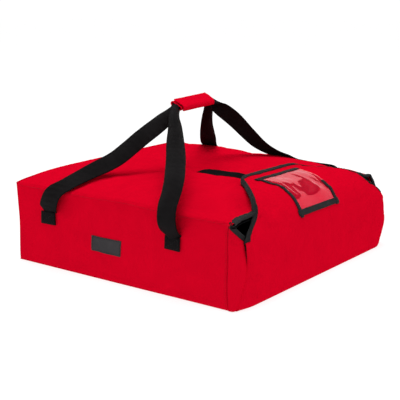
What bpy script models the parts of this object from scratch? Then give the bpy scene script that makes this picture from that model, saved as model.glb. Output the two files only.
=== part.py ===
"""Soft-sided pizza delivery bag: padded walls, a drop front with gussets, a flap with a ticket window,
and two webbing handles gathered in a wrapped grip. Metres, +Z up, the mouth faces -Y."""

import math

import bmesh
import bpy
from mathutils import Vector

# Clearance between pieces that touch
gap = 0.0003

# Whole bag
bag_width = 0.510
bag_depth = 0.495
seam_height = 0.1425

# Domed top: the rise at the middle, the length in which it rises behind the flap's fold, how much more it
# rises to the right, how much of it the back seam loses, and how fast it falls to the seams
crown_rise = 0.0185
crown_front_reach = 0.100
crown_tilt_share = 0.24
crown_back_share = 0.3
crown_side_power = 5
crown_back_power = 8

# Open front edge of the top: how far it lies before the flap's fold, and how far forward its corners come
rim_lead = 0.0005
rim_corner_reach = 0.0275
rim_corner_power = 6

# Padded walls: nylon shell outside, foam, lining inside
shell_thickness = 0.0010
foam_thickness = 0.0060
lining_thickness = 0.0008

# Front panel, which drops open, and the gussets beside it
front_height = 0.1065
front_top_inset = 0.024
gusset_curve_height = 0.085
gusset_start_height = 0.012
gusset_recess = 0.0020
gusset_corner_drop = 0.0035

# Flap, which folds back over the mouth
flap_foam_thickness = 0.0040
flap_base = 0.0040
flap_lean = math.radians(28)
flap_fold_radius = 0.025
flap_top_length = 0.074
flap_back_half_width = 0.093

# Hook-and-loop strips that hold the flap
strip_width = 0.037
strip_front_gap = 0.002
strip_back_y = 0.014
loop_thickness = 0.0015
hook_thickness = 0.0012
hook_side_inset = 0.0015
hook_front_inset = 0.012
hook_back_inset = 0.006

# Bias tape that binds the free edges
tape_thickness = 0.0008
tape_leg = 0.009
gusset_tape_leg = 0.005
gusset_tape_start_share = 0.14
gusset_tape_end_share = 0.78
flap_tape_start = 0.003
tape_fold_room = 0.0016

# Ticket window on the flap
window_half_width = 0.0637
window_start = 0.0090
window_back_inset = 0.0170
pane_thickness = 0.0005
window_side_tape = 0.0070
window_front_tape = 0.0100
window_open_share = 0.46

# Plain label on the left side
label_width = 0.068
label_height = 0.027
label_thickness = 0.0008
label_y = 0.0290
label_z = 0.0600

# Webbing handles
strap_width = 0.037
strap_thickness = 0.0018
strap_hover = 0.0045
strap_bulge = 0.013
strap_straight = 0.004
patch_height = 0.022
patch_thickness = 0.0018
front_patch_inset = 0.1279
rear_patch_inset = 0.0815
front_patch_drop = 0.0425
rear_patch_drop = 0.0400

# Wrapped grip that gathers the handles
grip_length = 0.118
grip_y = 0.034
grip_rise = 0.138
grip_tilt = math.radians(25)
grip_wrap_thickness = 0.0024
grip_clearance = 0.0010
grip_slot = 0.004
grip_tape_thickness = 0.0010
grip_tape_width = 0.016
grip_cover_inset = 0.002
grip_tape_inset = 0.006
grip_exit_straight = 0.005
grip_exit_lag = 0.005

# Places along a handle: how far it stands out and how high it is between its patch and the top seam
strap_bulge_shares = ((0.55, 0.22), (1.0, 0.48), (0.95, 0.74), (0.45, 0.97))
# Then its share of the way in plan to the grip, and its share of the rise from the top to the grip
strap_rise_shares = (
    (0.06, 0.010), (0.15, 0.014), (0.27, 0.039), (0.37, 0.086), (0.46, 0.157), (0.55, 0.241),
    (0.63, 0.332), (0.71, 0.470), (0.79, 0.600), (0.87, 0.735), (0.94, 0.861),
)
strap_twist_end_share = 0.5

# How finely the curved pieces are laid out
top_columns = 18
crown_steps = 8
top_back_steps = 9
strap_steps = 80
seam_steps = 8
rise_steps = 3
turn_steps = 6
back_steps = 8
grip_turn_steps = 7

# Values worked out from the sizes above
half_width = bag_width / 2
half_depth = bag_depth / 2
front_y = -half_depth + gap + tape_thickness
back_y = half_depth
foam_depth = shell_thickness + gap
lining_depth = foam_depth + foam_thickness + gap
wall_thickness = lining_depth + lining_thickness
flap_lining_depth = foam_depth + flap_foam_thickness + gap
flap_thickness = flap_lining_depth + lining_thickness
flap_lift = gap + loop_thickness + gap + hook_thickness + gap + flap_thickness
layers = {
    "shell": (0, shell_thickness),
    "foam": (foam_depth, foam_thickness),
    "lining": (lining_depth, lining_thickness),
}
flap_layers = {
    "shell": (0, shell_thickness),
    "foam": (foam_depth, flap_foam_thickness),
    "lining": (flap_lining_depth, lining_thickness),
}
tape_half_width = half_width - wall_thickness - 2 * gap
front_top_half_width = half_width - front_top_inset
inner_half_width = half_width - shell_thickness - gap
flap_bottom = front_height + gap
flap_crest = seam_height + flap_lift
flap_fold_angle = math.pi / 2 - flap_lean
flap_turn = flap_fold_radius * flap_fold_angle
flap_climb = flap_crest - flap_bottom - flap_base - flap_fold_radius * (1 - math.sin(flap_lean))
flap_slope = flap_climb / math.cos(flap_lean)
flap_fold_start = flap_base + flap_slope
flap_fold_end = flap_fold_start + flap_turn
flap_length = flap_fold_end + flap_top_length
fold_y = front_y + flap_fold_radius * math.cos(flap_lean) + flap_slope * math.sin(flap_lean)
rim_y = fold_y - rim_lead
crown_end_y = fold_y + crown_front_reach
grip_z = seam_height + grip_rise

# Finishes: colour, roughness
red_nylon = ((0.66, 0.0, 0.014), 0.62)
white_foam = ((0.86, 0.86, 0.84), 0.9)
black_lining = ((0.018, 0.018, 0.020), 0.55)
black_tape = ((0.030, 0.030, 0.032), 0.75)
black_webbing = ((0.016, 0.016, 0.018), 0.7)
black_pile = ((0.012, 0.012, 0.012), 0.95)
clear_vinyl = ((0.95, 0.35, 0.42), 0.12)
grey_label = ((0.05, 0.048, 0.050), 0.6)


def clear_scene():
    """Remove every object, so that the script can run again."""
    for item in list(bpy.data.objects):
        bpy.data.objects.remove(item, do_unlink=True)


def collection(name):
    """A collection of the scene, made if it isn't there."""
    found = bpy.data.collections.get(name) or bpy.data.collections.new(name)
    if name not in bpy.context.scene.collection.children:
        bpy.context.scene.collection.children.link(found)
    return found


def mix(start, end, share):
    """The value that lies this share of the way from start to end."""
    return start + (end - start) * share


def smooth(share):
    """A share that eases in and out, held between 0 and 1."""
    held = min(max(share, 0), 1)
    return held * held * (3 - 2 * held)


def paint(piece, finish):
    """Give a piece a material of its own."""
    colour, roughness = finish
    skin = bpy.data.materials.new(piece.name)
    skin.use_nodes = True
    shader = skin.node_tree.nodes["Principled BSDF"]
    shader.inputs["Base Color"].default_value = (*colour, 1)
    shader.inputs["Roughness"].default_value = roughness
    shader.inputs["Metallic"].default_value = 0
    piece.data.materials.append(skin)


def pivot(name, place, parent=None):
    """An empty on a joint's axis. Pieces that move with the joint hang on it."""
    empty = bpy.data.objects.new(name, None)
    bag.objects.link(empty)
    empty.empty_display_type = "SINGLE_ARROW"
    empty.parent = parent
    base = Vector(parent["axis_place"]) if parent else Vector((0, 0, 0))
    empty.location = Vector(place) - base
    empty["axis_place"] = tuple(place)
    return empty


def add_piece(name, shape, finish, carrier):
    """Turn a bmesh in bag coordinates into a named object, hung on the empty that carries it."""
    mesh = bpy.data.meshes.new(name)
    shape.to_mesh(mesh)
    shape.free()
    piece = bpy.data.objects.new(name, mesh)
    bag.objects.link(piece)
    if carrier:
        piece.parent = carrier
        piece.location = -Vector(carrier["axis_place"])
    paint(piece, finish)
    return piece


def slab(name, low, high, finish, carrier=None):
    """A flat rectangular piece between two corners."""
    shape = bmesh.new()
    bmesh.ops.create_cube(shape, size=1)
    for vertex in shape.verts:
        vertex.co = [mix(low[i], high[i], vertex.co[i] + 0.5) for i in range(3)]
    return add_piece(name, shape, finish, carrier)


def sheet(name, columns, rows, place, thickness, finish, carrier=None, flip=False, side=-1):
    """A sewn sheet: a grid laid by place(u, v), each from 0 to 1, and thickened.
    Side -1 thickens it below the laid surface, 0 about it and 1 above it."""
    shape = bmesh.new()
    bmesh.ops.create_grid(shape, x_segments=columns, y_segments=rows, size=0.5)
    for vertex in shape.verts:
        vertex.co = place(vertex.co.x + 0.5, vertex.co.y + 0.5)
    if flip:
        bmesh.ops.reverse_faces(shape, faces=shape.faces)
    piece = add_piece(name, shape, finish, carrier)
    thicken = piece.modifiers.new("thickness", "SOLIDIFY")
    thicken.thickness = thickness
    thicken.offset = side
    thicken.use_even_offset = True
    piece.data.shade_smooth()
    piece.data.set_sharp_from_angle(angle=math.radians(40))
    return piece


def top_height(x, y, depth=0):
    """Height of the domed top at a place, for the layer that lies this deep in the wall.
    It is flat under the flap's fold, rises behind it and falls again to the sides and the back."""
    across = min(abs(x) / (half_width - depth), 1)
    along = min(max(y, 0) / (half_depth - depth), 1)
    fall = (1 - across ** crown_side_power) * (1 - crown_back_share * along ** crown_back_power)
    rise = crown_rise * (1 + crown_tilt_share * x / half_width) * smooth((y - fold_y) / crown_front_reach)
    return seam_height - depth + rise * fall


def rim_place(x):
    """How far back the top's open front edge lies across the bag. Its corners come forward."""
    return rim_y - rim_corner_reach * (abs(x) / half_width) ** rim_corner_power


def top_column(u, half):
    """A place across the top. Only the two end columns follow the layer's own half width."""
    column = round(u * top_columns)
    if column == 0:
        return -half
    if column == top_columns:
        return half
    return mix(-tape_half_width, tape_half_width, (column - 1) / (top_columns - 2))


def top_rows(first, last):
    """The places along the bag, from first to last, where the top and all that lies on it have their rows."""
    rows = [mix(rim_y + tape_leg, crown_end_y, i / crown_steps) for i in range(crown_steps)]
    rows += [mix(crown_end_y, back_y, i / top_back_steps) for i in range(top_back_steps)]
    return [first] + [row for row in rows if first + gap < row < last - gap] + [last]


def front_half_width(z):
    """Half the front panel's width at a height: wide at the base, drawn in beside the gussets."""
    return mix(inner_half_width, front_top_half_width, smooth(z / gusset_curve_height))


def gusset_heights():
    """The heights where the seam between the front panel and a gusset has its points."""
    return [mix(gusset_start_height, front_height, i / seam_steps) for i in range(seam_steps + 1)]


def flap_place(x, along, below):
    """A place on the flap: x across, the length along its middle from the hinge, the depth below its face.
    It stands on its hinge, leans back, turns over the mouth and lies on the top."""
    if along <= flap_base:
        corner = flap_base - below * math.tan(flap_lean / 2)
        return (x, front_y + below, flap_bottom + corner * along / flap_base)
    if along <= flap_fold_start:
        run = along - flap_base
        y = front_y + run * math.sin(flap_lean) + below * math.cos(flap_lean)
        return (x, y, flap_bottom + flap_base + run * math.cos(flap_lean) - below * math.sin(flap_lean))
    if along <= flap_fold_end:
        angle = flap_fold_angle - (along - flap_fold_start) / flap_fold_radius
        reach = flap_fold_radius - below
        return (x, fold_y - reach * math.sin(angle), flap_crest - flap_fold_radius + reach * math.cos(angle))
    y = fold_y + along - flap_fold_end
    return (x, y, top_height(x, y) + flap_lift - below)


def flap_rows(first, last):
    """The lengths along the flap, from first to last, where every piece on it has its rows."""
    rows = [0]
    rows += [flap_base + flap_slope * i / rise_steps for i in range(rise_steps)]
    rows += [flap_fold_start + flap_turn * i / turn_steps for i in range(turn_steps)]
    rows += [flap_fold_end + row - fold_y for row in top_rows(fold_y, fold_y + flap_top_length)]
    return [first] + [row for row in rows if first + gap < row < last - gap] + [last]


def nearest(rows, along):
    """The row that lies nearest to a length along the flap."""
    return min(rows, key=lambda row: abs(row - along))


def flap_half_width(along):
    """Half the flap's width at a length along it."""
    return mix(front_top_half_width, flap_back_half_width, along / flap_length)


def make_bottom():
    """The padded bottom, which everything else stands on."""
    for layer, (depth, thickness) in layers.items():
        low = (depth - half_width, front_y + depth, depth)
        high = (half_width - depth, back_y - depth, depth + thickness)
        slab("bottom_" + layer, low, high, wall_finishes[layer])


def make_sides():
    """The two side walls. Only the shell reaches the front corner, beside the gusset."""
    for layer, (depth, thickness) in layers.items():
        front_end = front_y if layer == "shell" else front_y + wall_thickness + gap
        outer = half_width - depth
        base = depth + thickness + gap
        top = seam_height - depth - thickness - gap
        for name, sign in sides.items():
            low = (min(sign * outer, sign * (outer - thickness)), front_end, base)
            high = (max(sign * outer, sign * (outer - thickness)), back_y - depth, top)
            slab("side_" + layer + "_" + name, low, high, wall_finishes[layer])


def make_back():
    """The back wall, whose top edge follows the domed top."""
    for layer, (depth, thickness) in layers.items():
        half = half_width - depth - thickness - gap
        base = depth + thickness + gap
        face = back_y - depth

        def place(u, v):
            x = -top_column(u, half)
            crest = top_height(x, face, depth) - thickness - gap
            return (x, face, mix(base, crest, v))

        sheet("back_" + layer, top_columns, 1, place, thickness, wall_finishes[layer])


def make_top():
    """The domed top, open at the front where the mouth is."""
    for layer, (depth, thickness) in layers.items():
        half = half_width - depth
        rows = top_rows(rim_y, back_y - depth)

        def place(u, v):
            x = top_column(u, half)
            row = rows[round(v * (len(rows) - 1))]
            forward = (rim_place(x) - rim_y) * max(crown_end_y - row, 0) / (crown_end_y - rim_y)
            return (x, row + forward, top_height(x, row + forward, depth))

        sheet("top_" + layer, top_columns, len(rows) - 1, place, thickness, wall_finishes[layer])


def make_mouth_binding():
    """The tape folded over the top's front edge."""

    def place(u, v):
        x = mix(-tape_half_width, tape_half_width, u)
        corner = round(v * 3)
        y = rim_place(x) + (tape_leg if corner in (0, 3) else -tape_fold_room)
        if corner < 2:
            return (x, y, top_height(x, y) + gap)
        return (x, y, top_height(x, y, lining_depth) - lining_thickness - gap)

    sheet("mouth_binding", top_columns - 2, 3, place, tape_thickness, black_tape, flip=True, side=1)


def make_front_panel(hinge):
    """The front panel. It is as wide as the bag at its base and drawn in where the gussets join."""
    for layer, (depth, thickness) in layers.items():
        heights = [depth + thickness + gap] + gusset_heights()
        face = front_y + depth

        def place(u, v):
            z = heights[round(v * (len(heights) - 1))]
            half = front_half_width(z)
            return (mix(-half, half, u), face, z)

        sheet("front_" + layer, 1, len(heights) - 1, place, thickness, wall_finishes[layer], hinge)


def gusset_edge(v, outer):
    """A place on a gusset's edge: the inner edge runs along the front panel, the outer along the side."""
    if outer:
        return Vector((inner_half_width - gap, 0, mix(gusset_start_height, seam_height - gusset_corner_drop, v)))
    z = mix(gusset_start_height, front_height, v)
    return Vector((front_half_width(z) + gap, 0, z))


def make_gussets():
    """The gussets: thin sheets that fill the front corners and unfold when the front drops."""
    lining_face = front_y + gusset_recess + shell_thickness + gap
    gusset_layers = {
        "shell": (front_y + gusset_recess, shell_thickness, red_nylon),
        "lining": (lining_face, lining_thickness, black_lining),
    }
    for name, sign in sides.items():
        for layer, (face, thickness, finish) in gusset_layers.items():

            def place(u, v):
                spot = gusset_edge(v, False).lerp(gusset_edge(v, True), u)
                return (sign * spot.x, face, spot.z)

            sheet("gusset_" + layer + "_" + name, 2, seam_steps, place, thickness, finish, flip=sign < 0)


def make_gusset_bindings():
    """The tapes folded over the gussets' slanted top edges."""
    start = gusset_edge(1, False)
    end = gusset_edge(1, True)
    run = (end - start).normalized()
    up = Vector((-run.z, 0, run.x))
    front = front_y + gusset_recess - gap
    back = front_y + gusset_recess + shell_thickness + gap + lining_thickness + gap
    for name, sign in sides.items():

        def place(u, v):
            corner = round(v * 3)
            spot = start.lerp(end, mix(gusset_tape_start_share, gusset_tape_end_share, u))
            spot = spot + up * (-gusset_tape_leg if corner in (0, 3) else gap)
            return (sign * spot.x, front if corner < 2 else back, spot.z)

        sheet("gusset_binding_" + name, 3, 3, place, tape_thickness, black_tape, flip=sign < 0, side=1)


def make_flap(hinge):
    """The flap: a tapered padded sheet that turns over the mouth and lies on the top."""
    rows = flap_rows(0, flap_length)
    for layer, (depth, thickness) in flap_layers.items():

        def place(u, v):
            along = rows[round(v * (len(rows) - 1))]
            half = flap_half_width(along)
            return flap_place(mix(-half, half, u), along, depth)

        sheet("flap_" + layer, 10, len(rows) - 1, place, thickness, wall_finishes[layer], hinge)


def make_flap_binding(hinge):
    """The tape folded over the flap's free edges, in one length: up one side, over the back and down."""
    edge = [along for along in flap_rows(flap_tape_start, flap_length) if along < flap_length - tape_leg]
    stations = [(-1, along) for along in edge]
    stations += [(mix(-1, 1, i / back_steps), flap_length) for i in range(back_steps + 1)]
    stations += [(1, along) for along in reversed(edge)]

    def place(u, v):
        across, along = stations[round(u * (len(stations) - 1))]
        corner = round(v * 3)
        inset = tape_leg if corner in (0, 3) else -tape_fold_room
        below = -gap if corner < 2 else flap_thickness + gap
        shift = inset if along == flap_length else 0
        return flap_place(across * (flap_half_width(along) - inset), along - shift, below)

    sheet("flap_binding", len(stations) - 1, 3, place, tape_thickness, black_tape, hinge, side=1)


def make_strips(hinge):
    """The loop strip along the top and the hook strip under the flap."""
    half = strip_width / 2
    loop_rows = top_rows(rim_y + tape_leg + strip_front_gap, strip_back_y)

    def loop_place(u, v):
        x = mix(-half, half, u)
        y = loop_rows[round(v * (len(loop_rows) - 1))]
        return (x, y, top_height(x, y) + gap + loop_thickness)

    sheet("loop_strip", 2, len(loop_rows) - 1, loop_place, loop_thickness, black_pile)
    hook_half = half - hook_side_inset
    hook_rows = flap_rows(flap_fold_end + hook_front_inset, flap_length - tape_leg - hook_back_inset)

    def hook_place(u, v):
        x = mix(-hook_half, hook_half, u)
        return flap_place(x, hook_rows[round(v * (len(hook_rows) - 1))], flap_thickness + gap)

    sheet("hook_strip", 2, len(hook_rows) - 1, hook_place, hook_thickness, black_pile, hinge)


def make_window(hinge):
    """The clear ticket window and the four tapes that sew it down. Its right side is open to the back."""
    end = flap_length - window_back_inset
    pane_top = -(gap + pane_thickness)
    tape_top = pane_top - gap - tape_thickness

    def strip(name, edges, ends, columns, top, thickness, finish):
        rows = flap_rows(*ends)

        def place(u, v):
            return flap_place(mix(*edges, u), rows[round(v * (len(rows) - 1))], top)

        sheet(name, columns, len(rows) - 1, place, thickness, finish, hinge)

    inset = tape_thickness
    half = window_half_width
    strip("window_pane", (inset - half, half - inset), (window_start + inset, end - inset), 6,
          pane_top, pane_thickness, clear_vinyl)
    front_end = window_start + window_front_tape
    back_start = end - window_side_tape
    inner = half - window_side_tape
    open_start = nearest(flap_rows(front_end, back_start), mix(front_end, back_start, window_open_share))
    tapes = {
        "front": ((-half, half), (window_start, front_end), 6),
        "back": ((-half, half), (back_start, end), 6),
        "left": ((-half, -inner), (front_end + gap, back_start - gap), 1),
        "right": ((inner, half), (front_end + gap, open_start), 1),
    }
    for name, (edges, ends, columns) in tapes.items():
        strip("window_binding_" + name, edges, ends, columns, tape_top, tape_thickness, black_tape)


def make_label():
    """The plain label sewn to the left side."""
    face = -half_width - gap
    low = (face - label_thickness, label_y - label_width / 2, label_z - label_height / 2)
    high = (face, label_y + label_width / 2, label_z + label_height / 2)
    slab("side_label", low, high, grey_label)


def make_patches():
    """The webbing squares that sew the handles' ends to the sides."""
    inner = half_width + gap + strap_thickness + gap
    outer = inner + patch_thickness
    for end, (patch_y, patch_top) in patches.items():
        for name, sign in sides.items():
            low = (min(sign * inner, sign * outer), patch_y - strap_width / 2, patch_top - patch_height)
            high = (max(sign * inner, sign * outer), patch_y + strap_width / 2, patch_top)
            slab("strap_patch_" + end + "_" + name, low, high, black_webbing)


def grip_spot(across, lift):
    """A place in the grip's tilted section: across towards its low front edge, lift out of its top."""
    y = grip_y - across * math.cos(grip_tilt) - lift * math.sin(grip_tilt)
    z = grip_z - across * math.sin(grip_tilt) + lift * math.cos(grip_tilt)
    return y, z


def strap_leg(patch_y, patch_top, stack, exit_x):
    """The middle line of one leg, on the right side, from its lower end to the middle of the grip.
    Each place carries its share of the twist that turns the webbing from its patch to the grip."""
    beside = half_width + gap + strap_thickness / 2
    heights = (patch_top - patch_height, patch_top - patch_height / 2, patch_top, patch_top + strap_straight)
    leg = [(beside, patch_y, z, 0) for z in heights]
    for out, up in strap_bulge_shares:
        leg.append((beside + strap_bulge * out, patch_y, mix(heights[-1], seam_height, up), 0))
    y_off, z_off = grip_spot(0, stack)
    for way, rise in strap_rise_shares:
        x = mix(half_width, exit_x, way)
        y = mix(patch_y, grip_y, way)
        low = top_height(x, y) + strap_hover
        eased = smooth(way / strap_twist_end_share)
        spread = Vector((0, y_off - grip_y, z_off - grip_z)) * eased
        leg.append((x, y + spread.y, mix(low, grip_z, rise) + spread.z, way))
    leg.append((exit_x, y_off, z_off, 1))
    leg.append((grip_length / 2, y_off, z_off, 1))
    leg.append((grip_length / 4, y_off, z_off, 1))
    leg.append((0, y_off, z_off, 1))
    return [Vector(spot) for spot in leg]


def curve_place(points, share):
    """A place on the smooth curve that the points guide, a cubic B-spline, at a share of its run."""
    guides = [2 * points[0] - points[1]] + points + [2 * points[-1] - points[-2]]
    reach = share * (len(points) - 1)
    i = min(int(reach), len(points) - 2)
    t = reach - i
    weights = ((1 - t) ** 3, 3 * t ** 3 - 6 * t * t + 4, 3 * t + 3 * t * t - 3 * t ** 3 + 1, t ** 3)
    return sum((guides[i + k] * weight for k, weight in enumerate(weights)), Vector((0, 0, 0, 0))) / 6


def make_straps():
    """The two webbing handles. Each runs from the left side, through the grip, to the right side.
    The front one lies on top in the grip and runs a little further out before it bends down."""
    offset = (strap_thickness + gap) / 2
    exit_x = grip_length / 2 + grip_exit_straight
    stacks = {"front": (offset, exit_x + grip_exit_lag), "rear": (-offset, exit_x)}
    for end, (stack, bend_x) in stacks.items():
        patch_y, patch_top = patches[end]
        leg = strap_leg(patch_y, patch_top, stack, bend_x)
        mirrored = [Vector((-spot.x, spot.y, spot.z, spot.w)) for spot in leg]
        route = mirrored + leg[-2::-1]

        def place(u, v):
            spot = curve_place(route, u)
            tilt = grip_tilt * smooth(spot.w)
            across = mix(-strap_width / 2, strap_width / 2, v)
            return (spot.x, spot.y - across * math.cos(tilt), spot.z - across * math.sin(tilt))

        sheet("strap_" + end, strap_steps, 2, place, strap_thickness, black_webbing, side=0)


def grip_sizes():
    """Half the width and half the height of the space that the grip's wrap leaves for the webbing."""
    half_across = strap_width / 2
    half_lift = strap_thickness + gap / 2 + grip_clearance
    return half_across, half_lift


def grip_turn(middle, reach, start, end):
    """Places across and above the grip's middle, on an arc about one of its edges."""
    angles = [mix(start, end, i / grip_turn_steps) for i in range(grip_turn_steps + 1)]
    return [(middle + reach * math.sin(angle), reach * math.cos(angle)) for angle in angles]


def grip_sheet(name, outline, half_length, thickness, finish, carrier):
    """A padded sheet that runs along the grip, bent to an outline of places across and above its middle."""

    def place(u, v):
        y, z = grip_spot(*outline[round(v * (len(outline) - 1))])
        return (mix(-half_length, half_length, u), y, z)

    sheet(name, 1, len(outline) - 1, place, thickness, finish, carrier)


def make_grip(handle):
    """The padded wrap round the webbing. Its edges meet under it, with a slot between them."""
    half_across, half_lift = grip_sizes()
    reach = half_lift + grip_wrap_thickness
    outline = [(grip_slot / 2, -reach)]
    outline += grip_turn(half_across, reach, math.pi, 0)
    outline += grip_turn(-half_across, reach, 0, -math.pi)
    outline += [(-grip_slot / 2, -reach)]
    grip_sheet("grip_wrap", outline, grip_length / 2, grip_wrap_thickness, red_nylon, handle)


def make_grip_tapes(handle, cover):
    """The loop tape on the wrap and the hook tape under the cover that closes on it."""
    half_across, half_lift = grip_sizes()
    reach = half_lift + grip_wrap_thickness
    half_length = grip_length / 2 - grip_tape_inset
    start = half_across - grip_tape_width
    loop_top = reach + gap + grip_tape_thickness
    hook_top = loop_top + gap + grip_tape_thickness
    tapes = {"grip_loop_tape": (loop_top, handle), "grip_hook_tape": (hook_top, cover)}
    for name, (top, carrier) in tapes.items():
        outline = [(half_across, top), (start, top)]
        grip_sheet(name, outline, half_length, grip_tape_thickness, black_pile, carrier)


def grip_cover_reach():
    """Height of the cover's outer face above the middle of the grip."""
    half_lift = grip_sizes()[1]
    return half_lift + grip_wrap_thickness + 2 * grip_tape_thickness + 3 * gap + grip_wrap_thickness


def make_grip_cover(cover):
    """The cover that closes over the wrap: sewn along its back edge, turned down over the front."""
    half_across = grip_sizes()[0]
    reach = grip_cover_reach()
    outline = grip_turn(half_across, reach, math.pi / 2, 0) + [(-half_across, reach)]
    half_length = grip_length / 2 - grip_cover_inset
    grip_sheet("grip_cover", outline, half_length, grip_wrap_thickness, red_nylon, cover)


wall_finishes = {"shell": red_nylon, "foam": white_foam, "lining": black_lining}
sides = {"left": -1, "right": 1}
patches = {
    "front": (front_y + front_patch_inset, seam_height - front_patch_drop),
    "rear": (back_y - rear_patch_inset, seam_height - rear_patch_drop),
}

clear_scene()
bag = collection("pizza_delivery_bag")
collection("cutters")

front_hinge = pivot("front_drop_axis", (0, front_y, shell_thickness + gap))
flap_hinge = pivot("flap_open_axis", (0, front_y, front_height + gap / 2), front_hinge)
handle_slide = pivot("handle_drop_axis", (0, grip_y, grip_z))
cover_y, cover_z = grip_spot(-grip_sizes()[0], grip_cover_reach() - grip_wrap_thickness)
cover_hinge = pivot("grip_open_axis", (0, cover_y, cover_z), handle_slide)

make_bottom()
make_sides()
make_back()
make_top()
make_mouth_binding()
make_front_panel(front_hinge)
make_gussets()
make_gusset_bindings()
make_flap(flap_hinge)
make_flap_binding(flap_hinge)
make_strips(flap_hinge)
make_window(flap_hinge)
make_label()
make_patches()
make_straps()
make_grip(handle_slide)
make_grip_tapes(handle_slide, cover_hinge)
make_grip_cover(cover_hinge)
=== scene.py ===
"""Looks of a soft-sided pizza delivery bag: sewn skins, tapes, stitches, webbing, window and light.
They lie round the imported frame. Metres, +Z up, the mouth faces -Y."""

import math

import bpy
import numpy as np
from mathutils import Matrix, Vector, noise
from mathutils.bvhtree import BVHTree


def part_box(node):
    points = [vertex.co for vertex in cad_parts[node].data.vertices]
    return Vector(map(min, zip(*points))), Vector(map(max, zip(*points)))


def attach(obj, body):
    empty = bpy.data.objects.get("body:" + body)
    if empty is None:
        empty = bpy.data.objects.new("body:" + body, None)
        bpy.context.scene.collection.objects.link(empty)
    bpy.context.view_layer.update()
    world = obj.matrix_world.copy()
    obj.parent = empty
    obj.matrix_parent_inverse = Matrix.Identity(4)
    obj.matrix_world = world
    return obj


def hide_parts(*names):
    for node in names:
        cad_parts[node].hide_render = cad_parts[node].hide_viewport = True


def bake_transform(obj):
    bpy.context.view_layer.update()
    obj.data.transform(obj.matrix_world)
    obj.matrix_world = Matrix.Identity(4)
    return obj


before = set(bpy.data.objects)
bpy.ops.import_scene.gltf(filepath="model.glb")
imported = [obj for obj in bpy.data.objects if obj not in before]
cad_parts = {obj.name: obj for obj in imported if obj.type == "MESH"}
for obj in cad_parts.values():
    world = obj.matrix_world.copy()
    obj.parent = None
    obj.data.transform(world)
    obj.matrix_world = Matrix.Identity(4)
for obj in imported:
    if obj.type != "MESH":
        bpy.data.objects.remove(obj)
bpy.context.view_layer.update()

# Sizes taken from the frame
half_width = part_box("side_shell_right")[1].x
back_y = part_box("back_shell")[1].y
front_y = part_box("front_shell")[0].y
grip_low, grip_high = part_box("grip_wrap")

# Walls: how far the seams lie inside the frame's faces, how far the padding swells, how thick the layers are
seam_inset = 0.0012
back_inset = 0.0015
base_lift = 0.0006
side_swell = 0.0042
swell_reach = 0.060
side_spread = 0.0058
side_spread_reach = 0.085
corner_drawn_in = 0.0040
corner_lean = 0.0050
corner_reach = 0.045
cloth_thickness = 0.0008
wall_thickness = 0.0085
seam_groove, seam_groove_reach = 0.0016, 0.0060
flap_thickness = 0.0066
edge_thickness = 0.0042

# Waves and creases of the cloth: how high they stand and how far they reach
wave_depth, wave_reach = 0.0011, 0.055
pucker_depth, pucker_pitch = 0.00022, 0.0021

# Seam between top and walls: places along the bag and their heights
seam_places = (
    (-0.237, 0.1390), (-0.222, 0.1392), (-0.173, 0.1400), (-0.130, 0.1392), (-0.086, 0.1406),
    (-0.024, 0.1443), (0.066, 0.1433), (0.166, 0.1440), (0.246, 0.1440),
)

# Domed top: its rise, where it starts behind the flap's fold, and the valley that the loop strip lies in
crown_rise = 0.0213
crown_tilt = 0.06
crown_start_y = -0.209
crown_reach = 0.087
crown_corner_reach = 0.024
crown_side_power = 5.2
crown_corner_fill = 8
crown_fill_y, crown_fill_reach = 0.02, 0.15
crown_back_loss_left, crown_back_loss_right = 0.35, 0.03
crown_back_power = 18
rim_lift = 0.0055
rim_lift_x, rim_lift_end_x, rim_lift_reach = 0.130, 0.200, 0.050
valley_share = 0.61
valley_flat = 0.012
valley_half_width = 0.060
valley_end_y = 0.020
valley_fade = 0.080

# Right front corner, which leans in and down under the flap
corner_in, corner_down = 0.010, 0.0035
corner_from_x, corner_from_y = 0.200, -0.150

# Open front edge of the top: places across the bag and along it. The right corner is drawn in
rim_places = (
    (-0.2555, -0.2365), (-0.2247, -0.2266), (-0.177, -0.2225), (0.0, -0.2150),
    (0.177, -0.2100), (0.2247, -0.2110), (0.2555, -0.2137),
)

# Front edge of the side walls: heights and places along the bag
left_edge_places = ((0.001, -0.2322), (0.0405, -0.2274), (0.0771, -0.2267),
                    (0.1180, -0.2266), (0.1350, -0.2290), (0.1440, -0.2350))
right_edge_places = ((0.001, -0.229), (0.0405, -0.2249), (0.0771, -0.2246),
                     (0.1000, -0.2230), (0.1250, -0.2180), (0.1430, -0.2137))

# Front sheet and flap in one length: place along the bag, height, and half widths to the left and the right
sheet_places = (
    (-0.2470, 0.0008, 0.2540, 0.2545), (-0.2500, 0.0120, 0.2525, 0.2550), (-0.2515, 0.0300, 0.2475, 0.2530),
    (-0.2522, 0.0500, 0.2405, 0.2480), (-0.2515, 0.0700, 0.2335, 0.2405), (-0.2500, 0.0880, 0.2325, 0.2400),
    (-0.2478, 0.1000, 0.2330, 0.2395), (-0.2441, 0.1085, 0.2290, 0.2365), (-0.2393, 0.1165, 0.2170, 0.2300),
    (-0.2319, 0.1290, 0.1940, 0.2110), (-0.2240, 0.1422, 0.1780, 0.1940), (-0.2138, 0.1517, 0.1680, 0.1825),
    (-0.2036, 0.1567, 0.1568, 0.1715), (-0.1860, 0.1615, 0.1383, 0.1535), (-0.1675, 0.1640, 0.1190, 0.1340),
    (-0.1490, 0.1662, 0.1000, 0.1150), (-0.1385, 0.1685, 0.0918, 0.1065), (-0.1262, 0.1717, 0.0830, 0.0980),
)
hinge_z = 0.1065
flap_curl = 0.0045
flap_curl_reach = 0.0125
flap_tape_start = 0.425
flap_corner = 0.006
flap_corner_share = 0.14
base_corner_back = {"left": 0.004, "right": 0.012}
hem_depth, hem_reach = 0.0050, 0.0070
base_corner_reach = 0.055
fold_x, fold_width, fold_depth = 0.186, 0.013, 0.0028
sheet_belly, flap_belly = 0.0012, -0.0004

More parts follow.
